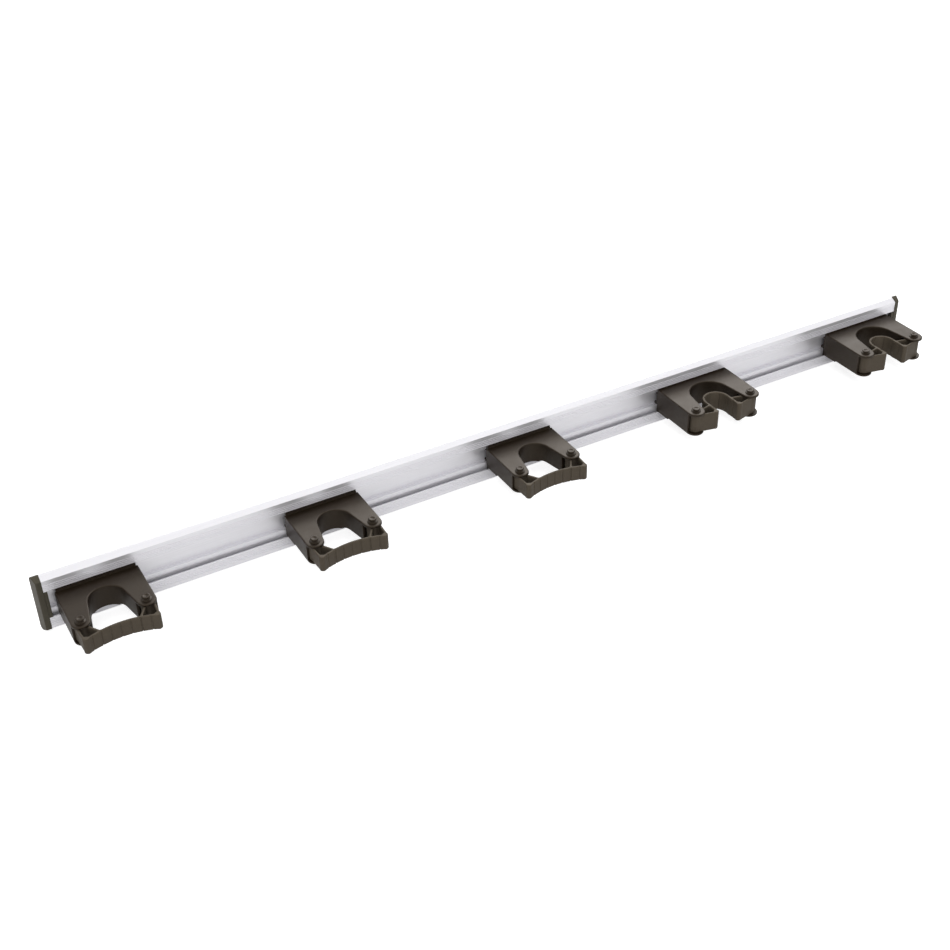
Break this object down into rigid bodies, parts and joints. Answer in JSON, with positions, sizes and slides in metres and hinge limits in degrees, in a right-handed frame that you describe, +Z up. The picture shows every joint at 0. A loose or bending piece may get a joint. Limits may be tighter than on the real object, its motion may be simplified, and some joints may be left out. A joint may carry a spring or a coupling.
{
  "type": "tool grip rail",
  "caption": "Wall rail of extruded aluminium with sliding black holders whose rubber grips snap round broom, mop and tool handles.",
  "frame": {"origin": "centre of the rail's back face, on the wall", "axes": "+X along the rail, to the right as seen from the room; +Y into the wall; +Z up"},
  "size_m": [0.9146, 0.0775, 0.0546],
  "materials": {
    "anodised_aluminium": "satin",
    "black_plastic": "matte",
    "grip_rubber": "matte"
  },
  "bodies": {
    "rail_assembly": {"rail": "anodised_aluminium", "end_cap_left": "black_plastic", "end_cap_right": "black_plastic"},
    "holder_1": {"holder_body_1": "black_plastic", "grip_1": "grip_rubber", "grip_pin_1_left": "black_plastic", "grip_pin_1_right": "black_plastic"},
    "holder_2": {"holder_body_2": "black_plastic", "grip_2": "grip_rubber", "grip_pin_2_left": "black_plastic", "grip_pin_2_right": "black_plastic"},
    "holder_3": {"holder_body_3": "black_plastic", "grip_3": "grip_rubber", "grip_pin_3_left": "black_plastic", "grip_pin_3_right": "black_plastic"},
    "holder_4": {"holder_body_4": "black_plastic", "grip_4": "grip_rubber", "grip_pin_4_left": "black_plastic", "grip_pin_4_right": "black_plastic"},
    "holder_5": {"holder_body_5": "black_plastic", "grip_5": "grip_rubber", "grip_pin_5_left": "black_plastic", "grip_pin_5_right": "black_plastic"}
  },
  "joints": [
    {"name": "holder_1_slide", "type": "slide", "parent": "rail_assembly", "child": "holder_1", "axis": [1, 0, 0], "range_m": [-0.0048, 0.065]},
    {"name": "holder_2_slide", "type": "slide", "parent": "rail_assembly", "child": "holder_2", "axis": [1, 0, 0], "range_m": [-0.065, 0.065]},
    {"name": "holder_3_slide", "type": "slide", "parent": "rail_assembly", "child": "holder_3", "axis": [1, 0, 0], "range_m": [-0.065, 0.06]},
    {"name": "holder_4_slide", "type": "slide", "parent": "rail_assembly", "child": "holder_4", "axis": [1, 0, 0], "range_m": [-0.06, 0.063]},
    {"name": "holder_5_slide", "type": "slide", "parent": "rail_assembly", "child": "holder_5", "axis": [1, 0, 0], "range_m": [-0.063, 0.0055]}
  ]
}
